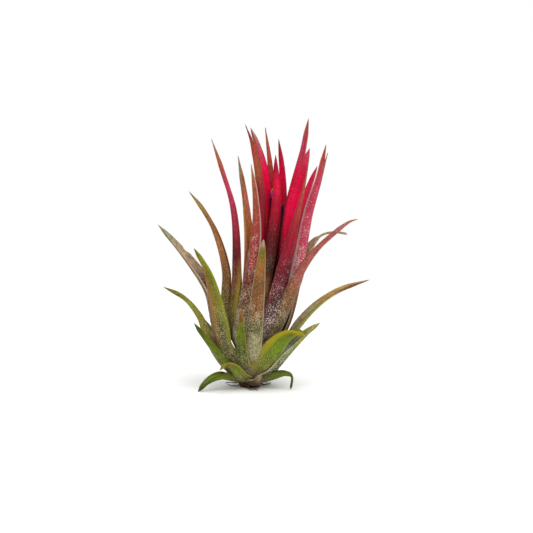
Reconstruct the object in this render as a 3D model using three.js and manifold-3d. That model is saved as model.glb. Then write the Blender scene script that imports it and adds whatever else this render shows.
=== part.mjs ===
// An ionantha air plant in its blushing stage: a stemless rosette of narrow, channelled leaves
// round a short stub of stem, green below and crimson in the heart, with two violet flowers
// just showing. It stands on the stub and on three bowed basal leaves.
// Millimetres and degrees, +Z up, the origin at the centre of the stub's foot.
import * as THREE from "three";
import { ParametricGeometry } from "three/addons/geometries/ParametricGeometry.js";
import { mergeVertices } from "three/addons/utils/BufferGeometryUtils.js";
import Module from "manifold-3d";

const wasm = await Module();
wasm.setup();

// Driving dimensions
const axisLean = 6; // the rosette's axis leans this far to the right
const clearance = 0.15; // free space between one piece and the next
const smoothing = 0.03; // small facets left by a cut are merged within this distance
const stub = { footRadius: 2.1, waistRadius: 2.9, waistHeight: 2, topRadius: 1, topHeight: 8 };

// Where a leaf joins the stem. The spiral climbs slowly at first, then faster towards the heart.
const root = { distance: 0.8, innermost: 7, outermost: 0.9, climb: 1.5 };

// A leaf's section. Shares run along the leaf, from 0 at the stem to 1 at the tip.
const blade = {
  thickness: 0.9, // at the midrib
  threadWidth: 0.6, // a dried, thread-like tip
  taper: 1.8, // higher keeps the blade broad for longer
  shoulder: 0.9, // below 1 rounds the blade off towards its tip
  sheathShare: 0.3, // the stretch that clasps the stem
  sheathFlare: 0.3, // how much broader it is there
  openDepth: 0.26, // the channel's depth over its width at the stem
  rolledDepth: 0.55, // and where the margins have rolled up
  rolledShare: 0.45,
  twistShare: 0.8, // the leaf has turned its whole twist by here
  sides: 8,
  stationSpacing: 3.2,
  fewestStations: 9,
  mostStations: 14,
};

// Each leaf lies in an upright plane through the axis. turn is that plane's bearing at the stem,
// counted from the right, over the back, to the left, and sweep is how far the tip swings on
// from it. The path's points are [distance from the axis, height], from the sheath to the tip.
// twist turns the channel's opening. The leaves run from the innermost to the outermost.
const leaves = [
  { kind: "heart", turn: -65, width: 2.4, taper: 5,
    path: [[1.4, 14], [3.4, 28], [3.1, 36.5], [0.45, 44.1]] },
  { kind: "heart", turn: 160, width: 3.1, taper: 5, twist: -14,
    path: [[0.8, 14], [0, 24], [0.3, 32.5], [2.8, 43.4], [5.4, 49.1]] },
  { kind: "heart", turn: 50, width: 2.4, taper: 3.8,
    path: [[2, 14], [3.8, 26], [4.2, 34.5], [2.9, 41.2], [0.7, 47]] },
  { kind: "heart", turn: 28, width: 3.2, taper: 3.6,
    path: [[2.2, 14], [3.9, 27], [5.1, 36.5], [6.2, 45], [6.5, 50.8]] },
  { kind: "heart", turn: 52, sweep: 66, width: 2.1, taper: 3,
    path: [[1.8, 14], [2.1, 27], [2.4, 38], [4.9, 49.1]] },
  { kind: "heart", turn: 238, sweep: -33, width: 2.4, taper: 2.6,
    path: [[2, 14], [2, 27], [3.2, 37], [5.6, 46.2], [6.7, 49.7]] },
  { kind: "heart", turn: -52, sweep: 38, width: 5, taper: 4, twist: 70,
    path: [[4.2, 12], [5.7, 25], [5.8, 35], [6.6, 45.3]] },
  { kind: "heart", turn: 38, width: 3.2, taper: 3.6,
    path: [[3.4, 12], [5.6, 21], [8, 33], [10.8, 41.7]] },
  { kind: "heart", turn: 3, width: 3.4, taper: 2.8, twist: -40,
    path: [[4.6, 12], [6.8, 23], [7.8, 33.5], [8.9, 39.5], [9.5, 46]] },
  { kind: "heart", turn: 100, width: 2.6, path: [[3.2, 13], [3.6, 22], [4.6, 30], [7.5, 38]] },
  { kind: "upright", turn: 236, sweep: -6, width: 4, taper: 1.6,
    path: [[5.2, 10], [4.4, 19], [3.6, 30], [4.6, 36], [6.6, 42.6]] },
  { kind: "upright", turn: 150, width: 3.6, path: [[3, 12], [3.2, 23], [4.9, 33], [8, 43.8]] },
  { kind: "heart", turn: 16, width: 2.4, taper: 2.2,
    path: [[4.6, 11], [6.9, 22], [8.6, 34], [10.5, 44.4]] },
  { kind: "upright", turn: 190, width: 3.5,
    path: [[4.6, 11], [5, 22], [6.7, 33.5], [9.6, 41], [12.3, 47.1]] },
  { kind: "upright", turn: 74, width: 2.8, path: [[4.4, 11], [5.2, 19], [6.8, 27], [9, 34.5]] },
  { kind: "upright", turn: 98, width: 2.8, path: [[4.6, 11], [5.6, 18], [8.6, 26], [13, 32]] },
  { kind: "upright", turn: 50, width: 2.8, path: [[4.8, 11], [6, 19], [8.2, 28], [11.2, 35.5]] },
  { kind: "spreading", turn: -38, sweep: 23, width: 4.2, taper: 1.3,
    path: [[5.9, 14], [8.1, 21], [10.8, 26], [13.8, 29.5], [16.2, 31.8], [17.3, 32.2]] },
  { kind: "spreading", turn: 176, width: 3.9,
    path: [[6, 14], [6.9, 22], [9.6, 29.2], [12.6, 33.8], [15.5, 37.1]] },
  { kind: "dry", turn: 14, width: 2.7, taper: 9, twist: 30, body: 0.84,
    path: [[5.6, 11], [7.7, 23.5], [10.5, 28.3], [13.2, 29.1], [16.1, 28.7]] },
  { kind: "spreading", turn: -93.5, width: 3.6, taper: 1.5, shoulder: 0.55,
    path: [[4.6, 7], [6.6, 13], [7.4, 21], [7.4, 28.7]] },
  { kind: "spreading", turn: 126, width: 2.8, path: [[5.4, 9.5], [7.2, 16], [8.2, 22.5], [9.2, 29]] },
  { kind: "spreading", turn: 64, width: 3, path: [[5.4, 9.5], [7, 16], [10, 22.5], [14.8, 28]] },
  { kind: "spreading", turn: 205, width: 5, taper: 2.1,
    path: [[6.2, 7.5], [7.8, 12.2], [9.5, 17.6], [11.6, 22.8], [14.5, 27]] },
  { kind: "dry", turn: 168, width: 3.5, taper: 2.6, twist: -28,
    path: [[6.2, 6.5], [8.1, 12.1], [9.9, 17.8], [14.1, 23.3], [21.4, 30.6]] },
  { kind: "spreading", turn: 84, width: 3, path: [[6, 7], [7.6, 12], [12, 18.5], [19, 23]] },
  { kind: "spreading", turn: 148, width: 3, path: [[6.2, 7], [8, 11], [10, 17], [12.6, 22]] },
  { kind: "spreading", turn: 40, width: 3, path: [[5.8, 6.5], [7.2, 11], [9, 17], [11, 22]] },
  { kind: "spreading", turn: 8, width: 2.9, twist: 22,
    path: [[5, 6.3], [8.3, 11.9], [11.3, 15.4], [15, 18], [20.9, 20.1]] },
  { kind: "basal", turn: -111, width: 3, path: [[5.8, 5.5], [7.4, 9], [8.4, 12.5], [9.4, 16]] },
  { kind: "basal", turn: -45, width: 5.4, taper: 2.6,
    path: [[3.2, 4.6], [5.6, 7.7], [7.8, 10.2], [10.2, 11.4], [12.8, 11.2]] },
  { kind: "basal", turn: 188, width: 3.7,
    path: [[5.2, 4.2], [9.3, 10.2], [11, 13.6], [14.2, 17.1], [18.5, 19.4]] },
  { kind: "basal", turn: 30, width: 2.8, path: [[5, 4.2], [7, 7.2], [9.2, 10.4], [11.6, 13]] },
  { kind: "basal", turn: 156, width: 2.8, path: [[5, 4.5], [7.4, 7.5], [10, 10.6], [13, 13.4]] },
  { kind: "basal", turn: 104, width: 3, path: [[5, 4.5], [8, 7.5], [11, 9.6], [14, 10]] },
  { kind: "basal", turn: -18, width: 3.5, taper: 2.2, twist: 40,
    path: [[3.8, 3.2], [6.6, 6.9], [9.7, 10.4], [12.5, 12.8]] },
  { kind: "basal", turn: 205, width: 3.6, path: [[4.6, 3.6], [7.4, 6.8], [10.2, 9.7], [13, 13]] },
  { kind: "basal", turn: 66, width: 3, path: [[4.6, 3], [7.2, 5], [10, 6.8], [12.6, 7]] },
  { kind: "basal", turn: 240, width: 3, path: [[4.6, 2.8], [7, 4.6], [9.6, 5.6], [12, 4.8]] },
  { kind: "foot", turn: -25, width: 3.4, taper: 2.5, body: 0.78,
    path: [[3.9, 2.1], [6.5, 2.9], [8.3, 2.6], [8.4, 0.05]] },
  { kind: "foot", turn: 212, width: 2.8, taper: 3,
    path: [[3.6, 1.8], [6.4, 2.6], [9.2, 1.9], [11.4, 0.05]] },
  { kind: "foot", turn: 92, width: 2.8, taper: 3,
    path: [[3.6, 1.8], [6.4, 2.6], [9.2, 1.9], [11.4, 0.05]] },
  { kind: "dry", turn: -72, width: 3, path: [[3.2, 1.3], [4.5, 1.8], [5.9, 3.2]] },
  { kind: "dry", turn: 34, width: 3, path: [[3.2, 1.2], [4.5, 1.6], [6.2, 2.6]] },
  { kind: "dry", turn: 152, width: 3, path: [[3.2, 1.3], [4.5, 1.9], [5.8, 3.4]] },
];

// Two flowers stand in the heart. Their ends are [right, back, height], counted from the axis.
// Each is a closed tube, slimmest at its ends.
const flowers = [
  { base: [1, 0.6, 9], top: [0.5, 0.8, 37.4], radius: 0.65 },
  { base: [1, 1.4, 9], top: [2.6, 0.9, 34.8], radius: 0.65 },
];
const flowerWaist = 0.7; // the radius at a tube's ends over the one at its middle

const colours = {
  heart: 0xc4163f,
  upright: 0xa0503f,
  spreading: 0x87803f,
  basal: 0x6f8c2c,
  foot: 0x5f7f2c,
  dry: 0xa08c62,
  stem: 0x5a4330,
  flower: 0x6a3a8c,
};

const { clamp, degToRad: radians, lerp } = THREE.MathUtils;

// A point at a distance, bearing and height, moved along with the leaning axis.
function onAxis(distance, bearing, height) {
  const drift = Math.tan(radians(axisLean)) * height;
  return new THREE.Vector3(
    drift + distance * Math.cos(bearing),
    distance * Math.sin(bearing),
    height,
  );
}

// A leaf's shape, or with grown, the same shape with that much free space all round it.
function leafGeometry(leaf, grown = 0) {
  const { turn, sweep = 0, twist = 0, body = 1, width, path } = leaf;
  const { taper = blade.taper, shoulder = blade.shoulder } = leaf;
  const rank = 1 - leaves.indexOf(leaf) / (leaves.length - 1);
  const rootHeight = lerp(root.outermost, root.innermost, rank ** root.climb);
  const bearing = (share) => radians(turn + sweep * share * share);
  const points = [[root.distance, rootHeight], ...path].map(([distance, height], i) =>
    onAxis(distance, bearing(i / path.length), height),
  );
  const midrib = new THREE.CatmullRomCurve3(points, false, "centripetal");
  const stations = Math.round(
    clamp(midrib.getLength() / blade.stationSpacing, blade.fewestStations, blade.mostStations),
  );
  const surface = (u, share, target) => {
    const along = midrib.getTangentAt(share);
    const across = new THREE.Vector3(-Math.sin(bearing(share)), Math.cos(bearing(share)), 0);
    const inward = new THREE.Vector3().crossVectors(along, across).normalize();
    across.crossVectors(inward, along).normalize();
    const turned = radians(twist * Math.min(1, share / blade.twistShare));
    across.applyAxisAngle(along, turned);
    inward.applyAxisAngle(along, turned);
    // The blade is broadest where it clasps the stem, then tapers to a needle.
    const sheath = Math.max(0, 1 - share / blade.sheathShare);
    const tapered = (1 - Math.min(1, share / body) ** taper) ** shoulder;
    const end = share === 0 ? -1 : Math.floor(share);
    const fullSpan = width * (tapered + blade.sheathFlare * sheath ** 2);
    const span = end ? 0 : Math.max(blade.threadWidth, fullSpan);
    const thickness = end ? 0 : Math.min(blade.thickness, span);
    const rolled = Math.min(1, share / blade.rolledShare);
    const depth = Math.max(thickness, span * lerp(blade.openDepth, blade.rolledDepth, rolled));
    // u runs along the outer face from margin to margin and back along the channel.
    const angle = 2 * Math.PI * u;
    const bulge = Math.abs(Math.sin(angle));
    const atMargin = bulge < 1e-6;
    const outside = u <= 0.5;
    const fall = bulge * (outside ? depth : depth - thickness);
    const spread = end ? 0 : grown * (outside || atMargin ? 1 : -1);
    target.copy(midrib.getPointAt(share));
    target.addScaledVector(along, end * grown);
    target.addScaledVector(across, -(span / 2 + spread) * Math.cos(angle));
    target.addScaledVector(inward, depth / 2 - fall - spread * (atMargin ? -1 : bulge));
  };
  return new ParametricGeometry(surface, blade.sides, stations);
}

// A closed geometry as a manifold-3d solid: shared vertices merged, collapsed faces dropped.
function solid(geometry) {
  const bare = geometry.clone();
  bare.deleteAttribute("normal");
  bare.deleteAttribute("uv");
  const merged = mergeVertices(bare, 1e-4);
  const index = merged.index.array;
  const kept = [];
  for (let i = 0; i < index.length; i += 3) {
    const [a, b, c] = index.slice(i, i + 3);
    if (a !== b && b !== c && c !== a) kept.push(a, b, c);
  }
  return new wasm.Manifold(
    new wasm.Mesh({
      numProp: 3,
      vertProperties: merged.attributes.position.array,
      triVerts: new Uint32Array(kept),
    }),
  );
}

function biggestBody(body) {
  return body.decompose().reduce((a, b) => (b.volume() > a.volume() ? b : a));
}

function meshOf(body, name, colour, roughness) {
  const { vertProperties, triVerts } = body.getMesh();
  const geometry = new THREE.BufferGeometry()
    .setAttribute("position", new THREE.BufferAttribute(vertProperties, 3))
    .setIndex(new THREE.BufferAttribute(triVerts, 1));
  geometry.computeVertexNormals();
  const material = new THREE.MeshStandardMaterial({ color: colour, roughness, metalness: 0 });
  const mesh = new THREE.Mesh(geometry, material);
  mesh.name = name;
  return mesh;
}

function stubGeometry(grown = 0) {
  const { footRadius, waistRadius, waistHeight, topRadius, topHeight } = stub;
  const outline = [
    [0, -grown],
    [footRadius + grown, -grown],
    [waistRadius + grown, waistHeight],
    [topRadius + grown, topHeight + grown],
    [0, topHeight + grown],
  ];
  const lathe = new THREE.LatheGeometry(
    outline.map(([x, y]) => new THREE.Vector2(x, y)),
    16,
  );
  return lathe.rotateX(Math.PI / 2);
}

function flowerGeometry({ base, top, radius }, grown = 0) {
  const surface = (u, v, target) => {
    const height = lerp(base[2] - grown, top[2] + grown, v);
    const swell = lerp(flowerWaist, 1, Math.sin(Math.PI * v));
    const closed = v === 0 || v === 1;
    target.copy(onAxis(closed ? 0 : (radius + grown) * swell, 2 * Math.PI * u, height));
    target.x += lerp(base[0], top[0], v);
    target.y += lerp(base[1], top[1], v);
  };
  return new ParametricGeometry(surface, 8, 9);
}

const plant = new THREE.Group();
plant.name = "air_plant";
plant.add(meshOf(solid(stubGeometry()), "stem_stub", colours.stem, 0.9));

// Each piece is cut clear of the ones inside it, which are counted as taken space.
let taken = solid(stubGeometry(clearance));
flowers.forEach((flower, i) => {
  const body = biggestBody(solid(flowerGeometry(flower)).subtract(taken));
  plant.add(meshOf(body, `flower_${i + 1}`, colours.flower, 0.5));
  taken = taken.add(solid(flowerGeometry(flower, clearance)));
});

const counts = {};
for (const leaf of leaves) {
  const body = biggestBody(solid(leafGeometry(leaf)).subtract(taken).simplify(smoothing));
  counts[leaf.kind] = (counts[leaf.kind] ?? 0) + 1;
  const number = String(counts[leaf.kind]).padStart(2, "0");
  plant.add(meshOf(body, `${leaf.kind}_leaf_${number}`, colours[leaf.kind], 0.7));
  taken = taken.add(solid(leafGeometry(leaf, clearance)));
}

export default plant;
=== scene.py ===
# An ionantha air plant: channelled leaves in a rosette, crimson in the heart and green at the foot,
# silvery with scurf, with two violet flowers just showing and a woody stub with dry roots below
import bpy
import math
from functools import partial
from types import SimpleNamespace
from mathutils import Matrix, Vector, noise


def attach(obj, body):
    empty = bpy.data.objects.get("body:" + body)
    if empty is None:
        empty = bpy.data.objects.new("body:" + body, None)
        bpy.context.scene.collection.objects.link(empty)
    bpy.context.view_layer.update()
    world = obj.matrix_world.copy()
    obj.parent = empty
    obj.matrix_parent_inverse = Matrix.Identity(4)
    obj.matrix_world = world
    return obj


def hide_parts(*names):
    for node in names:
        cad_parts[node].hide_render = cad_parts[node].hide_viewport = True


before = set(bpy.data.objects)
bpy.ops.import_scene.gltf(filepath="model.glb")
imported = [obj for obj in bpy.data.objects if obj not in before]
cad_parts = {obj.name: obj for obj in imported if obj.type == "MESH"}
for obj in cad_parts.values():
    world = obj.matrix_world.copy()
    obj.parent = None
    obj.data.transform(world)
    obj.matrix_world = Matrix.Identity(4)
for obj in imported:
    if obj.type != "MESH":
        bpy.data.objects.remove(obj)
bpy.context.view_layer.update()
mm = 0.001

# Colours, in a gardener's words

palette = {
    "flame": "f4024e", "crimson": "d4053c", "ruby": "a2082a", "wine": "62101e", "plum": "3c101a",
    "rose": "c63c5a", "garnet": "9c2a3c", "duskRose": "b06a6a", "brick": "aa4238", "rust": "aa5c3e",
    "russet": "a4544c", "coral": "e8886c", "amber": "e09a56", "bronze": "9a6630", "copper": "a86a3e",
    "gold": "a98c4a", "straw": "b8ac84", "cream": "ded0a8", "hay": "a08a6c", "mustard": "a8981a",
    "olive": "746c24", "moss": "4c4e24", "drab": "40401f", "leaf": "627210", "lime": "868a1e",
    "fern": "3e4c0c", "grass": "6a8414", "sage": "84865e", "ash": "c4c4b0", "chestnut": "784a28",
    "bark": "5a4230", "umber": "38261a", "frost": "eeeee2", "silver": "cfc096", "blush": "d4b298",
    "pearl": "ecd6cc", "violet": "7a4fb0", "lilac": "c4a8dc", "indigo": "241034", "pollen": "e0b84a",
    "white": "ffffff",
}


def colour(name):
    # A palette colour as the linear one that shaders take, by the standard curve for screens
    channels = [int(palette[name][i:i + 2], 16) / 255 for i in (0, 2, 4)]
    linear = [c / 12.92 if c <= 0.04045 else ((c + 0.055) / 1.055) ** 2.4 for c in channels]
    return (*linear, 1.0)


# General helpers


def lerp(low, high, share):
    return low + (high - low) * share


def wiring(tree):
    # Helpers for laying out a node tree. A value among the inputs is set, and a socket is linked.
    def fill(node, inputs):
        for key, value in inputs.items():
            if isinstance(value, bpy.types.NodeSocket):
                tree.links.new(value, node.inputs[key])
            else:
                node.inputs[key].default_value = value
        return node

    def add(kind, settings=None, inputs=None):
        made = tree.nodes.new(kind)
        for key, value in (settings or {}).items():
            setattr(made, key, value)
        return fill(made, inputs or {})

    def maths(operation, *values):
        return add("ShaderNodeMath", {"operation": operation}, dict(enumerate(values))).outputs[0]

    plus, minus, times, divided = [
        partial(maths, operation) for operation in ("ADD", "SUBTRACT", "MULTIPLY", "DIVIDE")]

    def vectors(operation, *values):
        places = (0, 3) if operation == "SCALE" else (0, 1, 2)
        made = add("ShaderNodeVectorMath", {"operation": operation}, dict(zip(places, values)))
        return made.outputs[0]

    def split(vector):
        return add("ShaderNodeSeparateXYZ", inputs={0: vector}).outputs

    def mapped(value, low, high, atLow=0.0, atHigh=1.0, smooth=False):
        curve = "SMOOTHSTEP" if smooth else "LINEAR"
        ends = {0: value, 1: low, 2: high, 3: atLow, 4: atHigh}
        return add("ShaderNodeMapRange", {"interpolation_type": curve}, ends).outputs[0]

    def mixed(share, under, over):
        return add("ShaderNodeMix", {"data_type": "RGBA"}, {0: share, 6: under, 7: over}).outputs[2]

    def clouds(vector, scale, detail):
        inputs = {"Vector": vector, "Scale": scale, "Detail": detail}
        return add("ShaderNodeTexNoise", inputs=inputs).outputs["Fac"]

    def ramp(stops, factor):
        # stops: each a place and a palette colour, as in "0.2 moss, 1 fern"
        node = add("ShaderNodeValToRGB", inputs={"Fac": factor})
        node.color_ramp.interpolation = "EASE"
        elements = node.color_ramp.elements
        while len(elements) > 1:
            elements.remove(elements[-1])
        for i, stop in enumerate(stops.split(", ")):
            place, name = stop.split()
            element = elements[0] if i == 0 else elements.new(float(place))
            element.position = float(place)
            element.color = colour(name)
        return node.outputs["Color"]

    return SimpleNamespace(fill=fill, add=add, maths=maths, plus=plus, minus=minus, times=times,
                           divided=divided, vectors=vectors, split=split, mapped=mapped, mixed=mixed,
                           clouds=clouds, ramp=ramp)


def newTree(name, kind, sockets, outputs):
    # sockets and outputs: socket type -> names
    tree = bpy.data.node_groups.new(name, kind)
    for side, wanted in (("INPUT", sockets), ("OUTPUT", outputs)):
        for socketType, labels in wanted.items():
            for label in labels:
                tree.interface.new_socket(label, in_out=side, socket_type=socketType)
    start = tree.nodes.new("NodeGroupInput")
    end = tree.nodes.new("NodeGroupOutput")
    return tree, wiring(tree), start.outputs, end


def newObject(name, data):
    made = bpy.data.objects.new(name, data)
    bpy.context.scene.collection.objects.link(made)
    return made


def dress(carrier, tree, settings):
    # Puts the tree on the carrier. Each input is set by its socket's identifier, and its value is kept
    # in settings under the input's name in camelCase.
    modifier = carrier.modifiers.new(tree.name, "NODES")
    modifier.node_group = tree
    for item in tree.interface.items_tree:
        if item.in_out == "INPUT" and item.socket_type != "NodeSocketGeometry":
            value = settings[item.name[0].lower() + item.name[1:].replace(" ", "")]
            isReal = item.socket_type == "NodeSocketFloat"
            modifier[item.identifier] = float(value) if isReal else value


def bake(carrier, name):
    # The carrier's evaluated result as a plain mesh object; the carrier and its modifier go
    graph = bpy.context.evaluated_depsgraph_get()
    mesh = bpy.data.meshes.new_from_object(carrier.evaluated_get(graph), depsgraph=graph)
    mesh.name = name
    bpy.data.objects.remove(carrier)
    return newObject(name, mesh)


# The rosette: the same rules and paths as the solid model's, with a finer blade

rosette = {
    "axisLean": 6,
    "rootDistance": 0.8,
    "rootInnermost": 7,
    "rootOutermost": 0.9,
    "rootClimb": 1.5,
    "seed": 11,
}

# Each kind's look, which a leaf's own dictionary can change. The outer face and the channel list their
# colours by place, from 0 at the stem to 1 at the tip. The scurf thins out at fade, and the rim's
# strength reaches rimAtTip at rimReach. A keel is a tint along the blade's back: colour and strength.
# A dark rim, such as wine, bark or chestnut, is painted shade along the margins; a pale rim is real scurf.
kinds = {
    "heart": {
        "slot": "crimson_leaf",
        "face": "0.2 plum, 0.36 wine, 0.52 crimson, 0.85 rose, 1 brick",
        "channel": "0.2 plum, 0.36 wine, 0.55 crimson, 0.7 flame, 1 rose",
        # The wine rim is painted shade along the margins.
        "rim": "wine", "rimWidth": 0.05, "scales": "blush", "scurf": 0.7, "fade": 0.62, "mottle": 0.18,
    },
    "upright": {
        "slot": "bronze_leaf",
        "face": "0.12 moss, 0.3 plum, 0.55 brick, 0.8 rust, 1 copper",
        "channel": "0.2 moss, 0.5 ruby, 1 rust",
        # The bark rim is painted shade along the margins.
        "rim": "bark", "rimWidth": 0.05, "scales": "blush", "scurf": 0.8, "fade": 0.7,
    },
    "spreading": {
        "slot": "olive_leaf",
        "face": "0.15 moss, 0.45 olive, 0.75 chestnut, 1 bronze",
        "channel": "0.2 sage, 0.6 olive, 1 gold",
        # The bark rim is painted shade along the margins.
        "rim": "bark", "rimWidth": 0.05, "scales": "silver", "scurf": 0.85, "fade": 0.8,
    },
    "basal": {
        "slot": "green_leaf",
        "face": "0.15 moss, 0.5 leaf, 0.85 olive, 1 gold",
        "channel": "0.2 ash, 0.6 leaf, 1 olive",
        "rim": "mustard", "rimWidth": 0.06, "scales": "silver", "scurf": 0.95, "fade": 0.9,
    },
    "foot": {
        "slot": "green_leaf",
        "face": "0.2 moss, 0.6 leaf, 1 fern",
        "channel": "0.2 moss, 0.6 leaf, 1 fern",
        "rim": "fern", "rimWidth": 0.06, "scales": "silver", "scurf": 0.6, "fade": 0.9,
    },
    "dry": {
        "slot": "dry_leaf",
        "face": "0.15 umber, 0.6 bark, 1 hay",
        "channel": "0.2 umber, 1 bark",
        "rim": "straw", "rimWidth": 0.06, "scales": "silver", "scurf": 0.6, "fade": 0.7, "mottle": 0.6,
    },
}

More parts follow.
